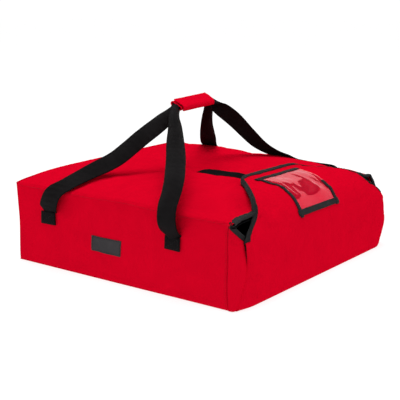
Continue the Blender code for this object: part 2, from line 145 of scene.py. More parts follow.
# Tapes
tape_thickness = 0.0009
tape_leg = 0.0090
tape_nose = 0.0016
tape_crinkle = 0.0006
crinkle_reach = (0.009, 0.009, 0.009)
leg_steps = np.array([1, 0.66, 0.33, 0])

# Stitches: how long, how far apart, how thick
stitch_length, stitch_gap, stitch_thick = 0.0032, 0.0021, 0.00038
stitch_inset = 0.0070

# Cloth let go between its seams: how much it grows, how hard it is blown up, how far it may move
cloth_growth = 0.020
cloth_pressure = 0.6
cloth_frames = 14
cloth_limit = 0.0032
cloth_held_reach, cloth_free_reach = 0.012, 0.030
cloth_quality = 4
cloth_mass, cloth_stiffness, cloth_bending = 0.3, 30, 0.15

# Gussets: their tape, how straight they run near the top, how far they bulge and lie behind the front sheet
gusset_leg = 0.0080
gusset_straight = 0.85
gusset_bulge = {"left": 0.0010, "right": -0.0020}
gusset_top = 0.0055
gusset_depth_low, gusset_depth = 0.0030, 0.0090

# Window: half width, its ends along the bag, its tapes
window_half = 0.0655
window_x = -0.0018
window_front_y = -0.2412
window_back_y = -0.1500
window_side_tape = 0.0090
window_front_tape = 0.0112
window_open_share = 0.44
window_tape_end = 0.0030
vinyl_thickness = 0.0005

# Hook-and-loop strips
strip_half = 0.0185
strip_start = 0.011
strip_end_y = 0.014
hook_half = 0.0165
hook_ends = (-0.197, -0.142)
pile_thickness = 0.0014

# Label and webbing squares on the sides: middle along the bag, low and high edge, half length
label_y, label_low, label_high, label_half = 0.0228, 0.0488, 0.0757, 0.0338
patches = {"front": (-0.1218, 0.0795, 0.1015, 0.0165), "rear": (0.1595, 0.0800, 0.1030, 0.0174)}
label_thickness = 0.0010
patch_lift, patch_thickness = 0.0036, 0.0018

# Webbing handles
strap_thickness = 0.0017
strap_grip_half = 0.0085
strap_width = 0.0366

# Free part of each handle's leg, by handle and side, in mm and degrees: its middle, its half width and how
# far its front edge drops
strap_guides = {
    ("rear", -1): (
        (-264.5, 158, 107.5, 18.3, 0), (-268, 152.5, 116.5, 18.3, 3), (-270, 146.5, 127.5, 18.3, 6),
        (-269, 140.3, 138.4, 18.3, 7), (-263, 134.2, 146.6, 18.3, 8), (-252, 126.3, 152.8, 18.3, 9),
        (-240, 122.6, 158, 18.3, 11), (-218, 113.9, 167, 18.3, 15), (-197, 104.5, 175.6, 18.3, 20),
        (-176, 94.1, 184.2, 18.3, 25), (-156, 84.5, 195, 18, 24), (-139.6, 73.8, 210.4, 18, 24),
        (-124.6, 62.3, 225.4, 18, 24), (-109.4, 50.5, 239.6, 18, 25), (-94, 39, 253.7, 17.5, 25),
        (-79, 32, 269, 15, 25)),
    ("front", -1): (
        (-266.5, -121.8, 105, 17.5, 0), (-275, -122.2, 117, 18.3, 0), (-278, -123, 136, 18.3, 0),
        (-274.5, -121.2, 154, 18, 3), (-260, -117.1, 168.4, 17.2, 6), (-243, -109.1, 181, 16.8, 8),
        (-222, -96.2, 193, 16.6, 8), (-197, -77.7, 204.5, 16.5, 8), (-170, -57.2, 216.3, 16.3, 8),
        (-145, -36.4, 228.9, 15.8, 12), (-121, -16.8, 242.5, 14, 18), (-102, -1.6, 257.5, 11.2, 22),
        (-86, 12, 269, 9, 25)),
    ("rear", 1): (
        (264, 161, 109, 18.3, 0), (268, 161, 120, 18.3, 0), (266.5, 162, 133, 18.3, 0),
        (257, 162, 144.2, 18.3, 0), (239, 160, 153.5, 18.3, 0), (205, 149, 165.6, 18.1, 0),
        (185, 137.2, 175.2, 18.1, 0), (165, 123.7, 187.3, 18.3, 2), (147, 110.3, 201, 18.3, 5),
        (130, 96.2, 216.4, 17, 10), (115, 84.5, 231.1, 14.8, 15), (102, 73.7, 245.4, 12, 20),
        (88, 61.5, 260, 9.5, 24), (76, 51, 274, 8.8, 25)),
    ("front", 1): (
        (264, -120, 107, 17, 0), (267.5, -119.5, 118, 18.3, 0), (266.5, -117.5, 130, 18.3, 0),
        (257, -110, 142.2, 18.3, 0), (230, -91.5, 149.4, 18.3, 0), (213.1, -75.8, 153.7, 18.3, 0),
        (198, -61.9, 157.9, 18.3, 0), (184, -48.9, 165.2, 18.3, -2), (170.3, -36.2, 173.3, 18, -3),
        (157.2, -24.1, 183.5, 17.5, -6), (145.1, -12.8, 195.5, 17.3, -13), (134.2, -2.8, 209.8, 17.3, -20),
        (123.4, 7.2, 224.7, 17.5, -26), (112.1, 17.7, 239.5, 18, -33), (100.3, 28.6, 253, 18.1, -38),
        (88.4, 39.6, 266.5, 17, -34), (77, 45, 277.5, 12.5, -10)),
}
guide_units = (0.001, 0.001, 0.001, 0.001, 1)

# Wrapped grip
grip_length = grip_high.x - grip_low.x
grip_tilt = math.radians(25)
grip_y, grip_z = 0.0380, 0.2820
grip_yaw, grip_climb = 0.127, 0.023
grip_half_across = 0.0098
grip_half_lift = 0.0022
grip_cloth, grip_pile = 0.0020, 0.0010
grip_cover_inset = 0.0026
grip_slot = 0.004

# Unevenness of the cloth and of the window's sheet: waves of tone, slubs in the threads, dents
mottle_scale, slub_scale, slub_share = 24, 420, 1.5
thread_height = 0.0002
dent_scale, dent_depth = 30, 0.002

# Light: the sky's brightness from straight below to straight above, its strength, the lamp, the floor's glow
sky_stops = ((0, 1), (0.455, 1), (0.466, 0.08), (0.60, 0.12), (0.68, 0.30), (0.78, 0.30), (0.86, 1), (1, 1))
sky_strength = 1.06
lamp_size, lamp_energy = 2.4, 48
floor_half, floor_drop, floor_tone, floor_glow = 30, 0.0002, 0.3, 0.80

# Camera, from the photograph
camera_place = Vector((-1.29268, -0.95776, 0.45462))
camera_right = Vector((0.60339, -0.79744, 0.0))
camera_back = Vector((-0.7786, -0.5891, 0.2159))
camera_lens = 78.006


def mix(start, end, share):
    """The value that lies this share of the way from start to end."""
    return start + (end - start) * share


def smooth(share):
    """A share that eases in and out, held between 0 and 1."""
    held = np.clip(share, 0, 1)
    return held * held * (3 - 2 * held)


def level(pairs, place):
    """The value at a place on a smooth curve through pairs of place and value."""
    places, values = np.array(pairs, float).T
    slopes = np.gradient(values, places)
    place = np.clip(place, places[0], places[-1])
    i = np.clip(np.searchsorted(places, place) - 1, 0, len(places) - 2)
    step = places[i + 1] - places[i]
    t = (place - places[i]) / step
    ends = (2 * t ** 3 - 3 * t ** 2 + 1) * values[i] + (3 * t ** 2 - 2 * t ** 3) * values[i + 1]
    return ends + step * ((t ** 3 - 2 * t ** 2 + t) * slopes[i] + (t ** 3 - t ** 2) * slopes[i + 1])


def unit(vectors):
    """The same vectors, one long."""
    return vectors / np.maximum(np.linalg.norm(vectors, axis=-1, keepdims=True), 1e-9)


def normals(grid):
    """The outward direction at each place of a grid: its rows' direction crossed with its columns'."""
    return unit(np.cross(np.gradient(grid, axis=1), np.gradient(grid, axis=0)))


def lift(grid, height):
    """A grid moved outward, by one height or one at each place."""
    return grid + normals(grid) * np.asarray(height)[..., None]


def spans(grid):
    """How far along its row and along its column each place of a grid lies."""
    across = np.linalg.norm(np.diff(grid, axis=1), axis=2)
    along = np.linalg.norm(np.diff(grid, axis=0), axis=2)
    u = np.hstack([np.zeros((len(grid), 1)), np.cumsum(across, axis=1)])
    v = np.vstack([np.zeros((1, grid.shape[1])), np.cumsum(along, axis=0)])
    return u, v


def edge_distance(grid):
    """How far each place of a grid lies from the grid's nearest edge."""
    u, v = spans(grid)
    return np.minimum(np.minimum(u, u[:, -1:] - u), np.minimum(v, v[-1:] - v))


def ripples(grid, reach, seed):
    """Smooth noise from -1 to 1 over a grid, with waves of this reach along each axis."""
    shift = Vector((seed, seed / 2, -seed))
    places = (grid / np.array(reach)).reshape(-1, 3)
    return np.array([noise.noise(Vector(place) + shift) for place in places]).reshape(grid.shape[:2])


def ruffled(grid, seed, depth=wave_depth, reach=(wave_reach,) * 3):
    """A grid with soft waves and finer creases. Its edges, where it is sewn, pucker instead."""
    edge = edge_distance(grid)
    u, v = spans(grid)
    waves = ripples(grid, reach, seed) + 0.35 * ripples(grid, [size / 2.6 for size in reach], seed + 7)
    pucker = np.sin((u + v) / pucker_pitch + 5 * ripples(grid, (0.03, 0.03, 0.03), seed + 3))
    near_seam = smooth(edge / 0.002) * (1 - smooth(edge / 0.016))
    return lift(grid, depth * waves * smooth(edge / 0.03) + pucker_depth * pucker * near_seam)


def settled(grid, name):
    """A grid let go as cloth between its seams: it grows a little and creases, but keeps its height."""
    piece = bpy.data.objects.new(name, mesh_of(name, grid))
    scene = bpy.context.scene
    scene.collection.objects.link(piece)
    held = piece.vertex_groups.new(name="held")
    for index, weight in enumerate(1 - smooth(edge_distance(grid).ravel() / cloth_held_reach)):
        held.add([index], float(weight), "REPLACE")
    cloth = piece.modifiers.new("cloth", "CLOTH")
    cloth.settings.vertex_group_mass = "held"
    cloth.settings.shrink_min = -cloth_growth
    cloth.settings.quality = cloth_quality
    cloth.settings.mass = cloth_mass
    cloth.settings.tension_stiffness = cloth_stiffness
    cloth.settings.compression_stiffness = cloth_stiffness
    cloth.settings.bending_stiffness = cloth_bending
    cloth.settings.use_pressure = True
    cloth.settings.uniform_pressure_force = cloth_pressure
    cloth.settings.effector_weights.gravity = 0
    cloth.collision_settings.use_collision = False
    for frame_number in range(1, cloth_frames + 1):
        scene.frame_set(frame_number)
    moved = piece.evaluated_get(bpy.context.evaluated_depsgraph_get()).to_mesh()
    places = np.empty(grid.size, np.float32)
    moved.vertices.foreach_get("co", places)
    change = places.reshape(grid.shape).astype(float) - grid
    scene.frame_set(1)
    mesh = piece.data
    bpy.data.objects.remove(piece)
    bpy.data.meshes.remove(mesh)
    edge, outward = edge_distance(grid), normals(grid)
    puff = np.sum(change * outward, axis=-1)[edge > cloth_free_reach].mean()
    change = change - outward * (puff * smooth(edge / cloth_free_reach))[..., None]
    reach = np.linalg.norm(change, axis=-1, keepdims=True)
    return grid + change * cloth_limit / (cloth_limit + reach)


def place_on(grid, row, column, height=0.0):
    """The place on a grid at fractional rows and columns, lifted off it."""
    lifted = lift(grid, height) if height else grid
    row = np.clip(row, 0, grid.shape[0] - 1.0001)
    column = np.clip(column, 0, grid.shape[1] - 1.0001)
    i, j = row.astype(int), column.astype(int)
    s, t = (row - i)[..., None], (column - j)[..., None]
    low = lifted[i, j] * (1 - t) + lifted[i, j + 1] * t
    high = lifted[i + 1, j] * (1 - t) + lifted[i + 1, j + 1] * t
    return low * (1 - s) + high * s


def faces_of(grid):
    """The faces between the places of a grid, each by the numbers of its four corners."""
    rows, columns = grid.shape[:2]
    index = np.arange(rows * columns).reshape(rows, columns)
    faces = np.stack([index[:-1, :-1], index[:-1, 1:], index[1:, 1:], index[1:, :-1]], axis=-1)
    return faces.reshape(-1, 4).tolist()


def mesh_of(name, grid):
    """A mesh of a grid's faces. The attribute "cloth" keeps how far along the cloth each place lies."""
    mesh = bpy.data.meshes.new(name)
    mesh.from_pydata(grid.reshape(-1, 3).tolist(), [], faces_of(grid))
    u, v = spans(grid)
    cloth = mesh.attributes.new("cloth", "FLOAT_VECTOR", "POINT")
    cloth.data.foreach_set("vector", np.stack([u, v, 0 * u], axis=-1).astype(np.float32).ravel())
    mesh.shade_smooth()
    return mesh


def piece_of(name, mesh, material, replaces=()):
    """An object of the bag, with its material and the nodes that it stands for."""
    piece = bpy.data.objects.new(name, mesh)
    bpy.context.scene.collection.objects.link(piece)
    piece.data.materials.append(material)
    if replaces:
        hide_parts(*replaces)
    return piece


def sew(name, grid, material, replaces=(), thickness=cloth_thickness, side=-1, body=None):
    """A sewn piece: a grid thickened inward. It rides on a body where one is given, and is left loose where
    it lies between two.
    """
    piece = piece_of(name, mesh_of(name, grid), material, replaces)
    thicken = piece.modifiers.new("thickness", "SOLIDIFY")
    thicken.thickness = thickness
    thicken.offset = side
    if body:
        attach(piece, body)
    return piece


def mirrored(grid):
    """A grid on the other side of the bag, with its outward side kept outward."""
    return (grid * np.array((-1, 1, 1)))[:, ::-1]


def tree_of(grid):
    """A tree for finding where a line meets a grid."""
    return BVHTree.FromPolygons([Vector(place) for place in grid.reshape(-1, 3)], faces_of(grid))


def seam_z(y):
    """Height of the seam between the top and the walls."""
    return level(seam_places, y)


def rim_y(x):
    """Place of the top's open front edge across the bag."""
    return level(rim_places, x)


def crest(x, y):
    """Height of the domed top: it rises behind the flap, tilts up to the right, dips under the loop strip."""
    share = x / (half_width - seam_inset)
    rise = crown_rise * smooth((y - crown_start_y) / (crown_reach + crown_corner_reach * smooth(share)))
    power = crown_side_power + crown_corner_fill * smooth((y - crown_fill_y) / crown_fill_reach) * (share > 0)
    loss = mix(crown_back_loss_left, crown_back_loss_right, smooth(0.5 + 0.5 * share))
    fall = (1 - np.abs(share) ** power) * (1 - loss * np.abs(y / back_y) ** crown_back_power)
    tilt = crown_tilt * share
    lifted = rim_lift * smooth((x - rim_lift_x) / 0.04) * (1 - smooth((x - rim_lift_end_x) / 0.035))
    lifted = lifted * (1 - smooth((y - rim_y(x)) / rim_lift_reach))
    across = 1 - smooth((np.abs(x) - valley_flat) / (valley_half_width - valley_flat))
    valley = valley_share * across * (1 - smooth((y - valley_end_y) / valley_fade))
    return seam_z(y) + rise * fall * (1 + tilt - valley) + lifted


def leaned(grid):
    """A grid whose right front corner leans in and down."""
    share = smooth((grid[..., 0] - corner_from_x) / 0.05) * smooth((corner_from_y - grid[..., 1]) / 0.06)
    share = share * smooth(grid[..., 2] / 0.14) ** 2
    return grid - share[..., None] * np.array((corner_in, 0, corner_down))


def padded_wall(grid, seed, swell=side_swell):
    """A wall swollen between its seams, with the soft waves of its cloth."""
    edge = edge_distance(grid)
    puffed = lift(grid, swell * (0.35 * smooth(edge / 0.007) + 0.65 * smooth(edge / swell_reach)))
    grooved = lift(puffed, -0.5 * seam_groove * (1 - smooth(edge / seam_groove_reach)))
    return settled(ruffled(grooved, seed), "wall_cloth")


def across_and_up(columns, rows):
    """Shares across and up a grid."""
    return np.meshgrid(np.linspace(0, 1, columns), np.linspace(0, 1, rows))


def spread_at(z):
    """How far the sagging walls stand out beyond their seams at a height."""
    return side_spread * (1 - smooth(z / side_spread_reach))


def corner_share(x):
    """How near a place across the bag lies to one of its sides, from 0 to 1."""
    return 1 - smooth((half_width - np.abs(x)) / corner_reach)


def corner_y(z):
    """Place along the bag of the back corners at a height."""
    return back_y - back_inset + mix(-corner_drawn_in, corner_lean, z / seam_z(back_y))


def side_grid(edge_places, sign):
    """A side wall's face. Its rows run up, and its columns from back to front on the left."""
    u, v = across_and_up(110, 40)
    z_front = v * seam_z(back_y)
    start = level(edge_places, z_front)
    y = mix(corner_y(z_front), start, u)
    z = base_lift + v * (seam_z(y) - base_lift)
    x = -(half_width - seam_inset) - spread_at(z)
    grid = padded_wall(np.stack([x, y, z], axis=-1), 3 if sign < 0 else 5)
    return grid if sign < 0 else leaned(mirrored(grid))


def top_grid():
    """The top's face. Its rows run from the open front edge to the back, its columns to the right."""
    u, v = across_and_up(130, 110)
    half = half_width - seam_inset
    x = half * np.sin((2 * u - 1) * math.pi / 2) * 0.35 + (2 * u - 1) * 0.65 * half
    y = mix(rim_y(x), back_y - back_inset + corner_lean * corner_share(x), v)
    grid = np.stack([x, y, crest(x, np.minimum(y, back_y - back_inset))], axis=-1)
    groove = 1 - smooth(edge_distance(grid) / seam_groove_reach)
    groove = seam_groove * groove * smooth((y - rim_y(x)) / 0.02)
    return leaned(settled(ruffled(lift(grid, -groove), 11, depth=0.0013), "top_cloth"))


def back_grid():
    """The back wall's face."""
    u, v = across_and_up(100, 36)
    x = mix(1, -1, u) * (half_width - seam_inset)
    z = base_lift + v * (crest(x, back_y - back_inset) - base_lift)
    y = mix(back_y - back_inset, corner_y(z), corner_share(x))
    x = x * (1 + spread_at(z) / half_width)
    return padded_wall(np.stack([x, y, z], axis=-1), 17, swell=0.0030)


def bottom_grid():
    """The bottom's face, flat where the bag stands on it, with its edges turned up to the seams."""
    u, v = across_and_up(60, 60)
    x = mix(-1, 1, u) * (half_width - seam_inset)
    near_corner = corner_share(x)
    front_back = np.where(x < 0, base_corner_back["left"], base_corner_back["right"]) * near_corner ** 2
    y = mix(back_y - back_inset - corner_drawn_in * near_corner, front_y + front_back, v)
    x = x * (1 + (side_spread * (1 - v ** 8)) / half_width)
    grid = np.stack([x, y, 0 * x], axis=-1)
    return grid + np.array((0, 0, 1)) * (0.0008 * (1 - smooth(edge_distance(grid) / 0.008)))[..., None]


def sheet_path():
    """Lengths along the front sheet and flap, and the columns of its table, each as a curve of the length."""
    table = np.array(sheet_places)
    steps = np.linalg.norm(np.diff(table[:, :2], axis=0), axis=1)
    lengths = np.concatenate([[0], np.cumsum(steps)])
    return lengths, [list(zip(lengths, table[:, column])) for column in range(4)]


sheet_lengths, (sheet_y, sheet_z, sheet_left, sheet_right) = sheet_path()
sheet_length = sheet_lengths[-1]
sheet_rows, sheet_columns = 120, 161


def sheet_grid():
    """The face of the front sheet and flap, from the bottom seam to the flap's back edge."""
    u, v = across_and_up(sheet_columns, sheet_rows)
    corner = (smooth(1 - u / flap_corner_share) + smooth(1 - (1 - u) / flap_corner_share)) * v ** 8
    along = v * (sheet_length - flap_corner * corner)
    left, right = level(sheet_left, along), level(sheet_right, along)
    x = mix(-left, right, u)
    near_corner = smooth((np.abs(x) - half_width + base_corner_reach) / base_corner_reach)
    z = level(sheet_z, along)
    back = np.where(x < 0, base_corner_back["left"], base_corner_back["right"])
    drawn = back * near_corner ** 2 * (1 - smooth(z / 0.075))
    fold = fold_depth * np.exp(-((x - fold_x) / fold_width) ** 2)
    fold = fold * smooth(z / 0.02) * (1 - smooth((z - 0.05) / 0.05))
    grid = np.stack([x, level(sheet_y, along) + drawn + fold, z], axis=-1)
    on_flap = smooth((along - 0.085) / 0.03)
    from_side = np.minimum(x + left, right - x)
    curl = flap_curl * (1 - np.clip(from_side / flap_curl_reach, 0, 1)) ** 2 * mix(0.4, 1, on_flap)
    belly = mix(sheet_belly, flap_belly, on_flap) * smooth(from_side / 0.04)
    hem = hem_depth * (1 - np.clip(from_side / hem_reach, 0, 1)) ** 1.3 * (1 - on_flap)
    grid = lift(grid, belly - np.maximum(curl, hem))
    return settled(ruffled(grid, 23, depth=0.0012, reach=(0.040, 0.090, 0.110)), "sheet_cloth")


def sheet_row(y):
    """The row of the front sheet that lies at a place along the bag, on the flap."""
    lengths = np.linspace(sheet_length * 0.4, sheet_length, 400)
    return np.interp(y, level(sheet_y, lengths), lengths) / sheet_length * (sheet_rows - 1)


def sheet_spot(x, row, height=0.0):
    """A place on the flap: across the bag, at one of its rows, lifted off its face."""
    along = row / (sheet_rows - 1) * sheet_length
    left, right = level(sheet_left, along), level(sheet_right, along)
    return place_on(front_face, row, (x + left) / (left + right) * (sheet_columns - 1), height)


def gusset_grid(edge_places, sign):
    """A gusset's face: from the side wall's front edge, round the corner, to behind the front sheet."""
    u, v = across_and_up(28, 40)
    corner_z = seam_z(-0.2365)
    top = mix(corner_z - 0.001, hinge_z + gusset_top, u)
    z = 0.0012 + v * (top - 0.0012)
    start_y = level(edge_places, np.clip(z, 0, 0.143))
    side = sheet_left if sign < 0 else sheet_right
    reach = np.interp(z, [place[1] for place in sheet_places[:8]], sheet_lengths[:8])
    inner = level(side, reach) - 0.004
    name = "left" if sign < 0 else "right"
    drawn = base_corner_back[name] * (1 - smooth(z / 0.075))
    inner_y = level(sheet_y, reach) + mix(gusset_depth_low, gusset_depth, smooth((z - 0.045) / 0.05)) + drawn
    outer = half_width + 0.0003 + spread_at(z)
    start = np.stack([-outer, start_y], axis=-1)
    end = np.stack([-inner, inner_y], axis=-1)
    corner = np.stack([-outer - gusset_bulge[name], np.minimum(inner_y - 0.0035, -0.2425 + drawn)], axis=-1)
    straight = gusset_straight * smooth((z - 0.085) / 0.04)[..., None]
    knots = np.stack([start, mix(corner, (start + end) / 2, straight), end])
    a, b, c = (1 - u) ** 2, 2 * u * (1 - u), u ** 2
    plan = knots[0] * a[..., None] + knots[1] * b[..., None] + knots[2] * c[..., None]
    grid = ruffled(np.concatenate([plan, z[..., None]], axis=-1), 31, depth=0.0008, reach=(0.02, 0.02, 0.06))
    return grid if sign < 0 else leaned(mirrored(grid))


def line_on(grid, rows, columns, height=0.0002):
    """A line on a grid, as its places and their outward directions."""
    outward = normals(grid)
    i = np.clip(np.round(rows).astype(int), 0, grid.shape[0] - 1)
    j = np.clip(np.round(columns).astype(int), 0, grid.shape[1] - 1)
    return place_on(grid, rows, columns, height), outward[i, j]


def box_on(grid, inset, crossed=False):
    """The lines of a sewn box on a grid, inset by a share of it, with a cross in it where asked."""
    rows, columns = grid.shape[0] - 1, grid.shape[1] - 1
    t = np.linspace(0, 1, 30)
    near_u, near_v = inset
    corners = [(near_v, near_u), (near_v, 1 - near_u), (1 - near_v, 1 - near_u), (1 - near_v, near_u)]
    pairs = list(zip(corners, corners[1:] + corners[:1]))
    if crossed:
        pairs += [(corners[0], corners[2]), (corners[1], corners[3])]
    return [line_on(grid, mix(a[0], b[0], t) * rows, mix(a[1], b[1], t) * columns) for a, b in pairs]


def stitches(name, lines, material, body=None):
    """Lines of small stitches, each a short thread that dips into the cloth at both ends."""
    places, faces = [], []
    for line, outward in lines:
        run = np.concatenate([[0], np.cumsum(np.linalg.norm(np.diff(line, axis=0), axis=1))])
        for start in np.arange(stitch_gap / 2, run[-1] - stitch_length, stitch_length + stitch_gap):
            spots = start + stitch_length * np.array((0, 0.2, 0.8, 1))
            spine = np.stack([np.interp(spots, run, line[:, axis]) for axis in range(3)], axis=-1)
            up = unit(np.array([np.interp(spots[1], run, outward[:, axis]) for axis in range(3)]))
            side = unit(np.cross(spine[3] - spine[0], up))
            first = len(places)
            ring = [side, up, -side, -up]
            places += [spine[0] - up * stitch_thick]
            places += [middle + arm * stitch_thick for middle in spine[1:3] for arm in ring]
            places += [spine[3] - up * stitch_thick]
            for k in range(4):
                n = (k + 1) % 4
                faces += [(first, first + 1 + n, first + 1 + k), (first + 9, first + 5 + k, first + 5 + n),
                          (first + 1 + k, first + 1 + n, first + 5 + n, first + 5 + k)]
    mesh = bpy.data.meshes.new(name)
    mesh.from_pydata([tuple(place) for place in places], [], faces)
    mesh.shade_smooth()
    piece = piece_of(name, mesh, material)
    if body:
        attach(piece, body)
    return piece


def leg_places(run, leg=tape_leg):
    """Where a tape's leg lies along a run of distances from the edge, from inside to the edge."""
    steps = np.arange(len(run))
    if run[0] > run[-1]:
        run, steps = run[::-1], steps[::-1]
    return np.interp(leg_steps * leg, run, steps)


def tape_round(name, face, under, replaces, body=None):
    """A bias tape folded over an edge. Each row of face and of under runs from inside to the edge."""
    out = unit(face[:, -1] - face[:, -2])
    middle = (face[:, -1] + under[:, -1]) / 2
    half = (face[:, -1] - under[:, -1]) / 2
    turn = [middle + half * math.cos(angle) + out * tape_nose * math.sin(angle)
            for angle in np.linspace(0.15, 0.85, 5) * math.pi]
    grid = np.concatenate([face, np.stack(turn, axis=1), under[:, ::-1]], axis=1)
    grid = lift(grid, tape_crinkle * ripples(grid, crinkle_reach, 67))
    return sew(name, grid, tape_cloth, replaces, tape_thickness, 1, body)


def nodes_of(material):
    """A material's nodes, links and shader."""
    material.use_nodes = True
    tree = material.node_tree
    return tree.nodes, tree.links, tree.nodes["Principled BSDF"]


def set_sockets(node, values):
    """Constants set on a node's sockets."""
    for socket, value in values.items():
        node.inputs[socket].default_value = value


def combine(nodes, links, kind, a, b):
    """Two values, or a value and a number, joined by an operation."""
    node = nodes.new("ShaderNodeMath")
    node.operation = kind
    for slot, value in zip(node.inputs, (a, b)):
        if isinstance(value, (int, float)):
            slot.default_value = value
        else:
            links.new(value, slot)
    return node.outputs[0]


def wave(nodes, links, source, pitch):
    """The sine of a distance in turns of a pitch."""
    return combine(nodes, links, "SINE", combine(nodes, links, "MULTIPLY", source, 2 * math.pi / pitch), 0)


def speckle(nodes, links, scale, detail):
    """Soft noise over an object, at a scale and with finer waves in it."""
    coordinates = nodes.new("ShaderNodeTexCoord")
    spots = nodes.new("ShaderNodeTexNoise")
    set_sockets(spots, {"Scale": scale, "Detail": detail})
    links.new(coordinates.outputs["Object"], spots.inputs["Vector"])
    return spots.outputs["Fac"]


def embossed(nodes, links, shader, height, strength, distance):
    """A shader's bump from a height."""
    relief = nodes.new("ShaderNodeBump")
    set_sockets(relief, {"Strength": strength, "Distance": distance})
    links.new(height, relief.inputs["Height"])
    links.new(relief.outputs["Normal"], shader.inputs["Normal"])


def fabric(name, colour, roughness, weave, pitch, bump, mottle, specular=0.0, sheen=0.0):
    """Woven cloth: its threads as bump along the cloth, and a faint unevenness of colour."""
    material = bpy.data.materials.new(name)
    nodes, links, shader = nodes_of(material)
    set_sockets(shader, {"Roughness": roughness, "Specular IOR Level": specular, "Sheen Weight": sheen})
    cloth = nodes.new("ShaderNodeAttribute")
    cloth.attribute_name = "cloth"
    split = nodes.new("ShaderNodeSeparateXYZ")
    links.new(cloth.outputs["Vector"], split.inputs[0])
    u, v = split.outputs[0], split.outputs[1]
    if weave == "plain":
        height = combine(nodes, links, "MULTIPLY", wave(nodes, links, u, pitch), wave(nodes, links, v, pitch))
    elif weave == "ribs":
        height = wave(nodes, links, v, pitch)
    else:
        zigzag = combine(nodes, links, "PINGPONG", v, pitch * 4)
        height = wave(nodes, links, combine(nodes, links, "ADD", u, zigzag), pitch)
    slub = combine(nodes, links, "MULTIPLY", speckle(nodes, links, slub_scale, 2), slub_share)
    embossed(nodes, links, shader, combine(nodes, links, "ADD", height, slub), bump, thread_height)
    ramp = nodes.new("ShaderNodeValToRGB")
    for element, place, share in zip(ramp.color_ramp.elements, (0.3, 0.7), (1 - mottle, 1 + mottle)):
        element.position = place
        element.color = (*[min(part * share, 1) for part in colour], 1)
    links.new(speckle(nodes, links, mottle_scale, 3), ramp.inputs["Fac"])
    links.new(ramp.outputs["Color"], shader.inputs["Base Color"])
    return material


def vinyl(name):
    """Soft clear sheet: glossy and slightly wavy, with the cloth's red seen through it."""
    material = bpy.data.materials.new(name)
    nodes, links, shader = nodes_of(material)
    set_sockets(shader, {"Base Color": (1.0, 0.005, 0.055, 1), "Metallic": 0.50, "Roughness": 0.02,
                         "Specular IOR Level": 0.2, "Coat Weight": 0.36, "Coat Roughness": 0.02,
                         "Alpha": 0.43})
    embossed(nodes, links, shader, speckle(nodes, links, dent_scale, 0.5), 0.25, dent_depth)
    return material


def thread(name, colour):
    """Twisted sewing thread: soft, a little shiny, uneven in tone."""
    return fabric(name, colour, 0.5, "ribs", 0.0005, 0.5, 0.2, specular=0.15)


black_thread = thread("black_thread", (0.012, 0.0115, 0.012))
red_thread = thread("red_thread", (0.50, 0.0010, 0.0130))
red = fabric("red_nylon", (0.655, 0.0010, 0.0165), 0.62, "plain", 0.0009, 0.35, 0.035)
lining = fabric("black_lining", (0.0100, 0.0100, 0.0108), 0.55, "plain", 0.0011, 0.35, 0.15)
tape_cloth = fabric("black_tape", (0.0150, 0.0147, 0.0155), 0.68, "ribs", 0.0011, 0.7, 0.2, specular=0.12)
webbing = fabric("black_webbing", (0.0068, 0.0058, 0.0063), 0.65, "twill", 0.0016, 1.0, 0.3, specular=0.05)
pile = fabric("black_pile", (0.0050, 0.0050, 0.0055), 0.95, "plain", 0.0014, 1.0, 0.3, sheen=0.02)
label_cloth = fabric("grey_label", (0.040, 0.037, 0.040), 0.6, "plain", 0.0007, 0.4, 0.2, specular=0.1)
clear = vinyl("clear_vinyl")

# Faces of the walls
side_faces = {"left": side_grid(left_edge_places, -1), "right": side_grid(right_edge_places, 1)}
top_face = top_grid()
front_face = sheet_grid()
side_trees = {name: tree_of(grid) for name, grid in side_faces.items()}


def make_walls():
    """Skins and linings of the bottom, sides, back and top."""
    walls = [("bottom", "", bottom_grid())]
    walls += [("side", "_" + name, face) for name, face in side_faces.items()]
    walls += [("back", "", back_grid()), ("top", "", top_face)]
    for wall, name, face in walls:
        nodes = (f"{wall}_shell{name}", f"{wall}_foam{name}")
        skin = sew(f"{wall}_skin{name}", face, red, nodes, body="bag_body")
        inner, node = lift(face, -wall_thickness), f"{wall}_lining{name}"
        sew(f"{wall}_liner{name}", inner, lining, (node,), body="bag_body")


def make_mouth_tape():
    """The tape folded over the top's open front edge."""
    stations = np.linspace(0.05, top_face.shape[1] - 1.05, 160)
    rows = []
    columns = np.repeat(stations[:, None], 4, axis=1)
    u, v = spans(top_face)
    for column in stations:
        nearest = int(round(column))
        from_end = min(u[0, nearest], u[0, -1] - u[0, nearest])
        rows.append(leg_places(v[:, nearest], tape_leg * mix(0.5, 1, float(smooth(from_end / 0.016)))))
    rows = np.array(rows)
    face = place_on(top_face, rows, columns, 0.0002)
    under = place_on(top_face, rows, columns, -edge_thickness)
    tape_round("mouth_tape", face, under, ("mouth_binding",), "bag_body")
    line = line_on(top_face, rows[:, 0] * stitch_inset / tape_leg, stations, 0.0012)
    stitches("stitches_mouth", [line], black_thread, "bag_body")


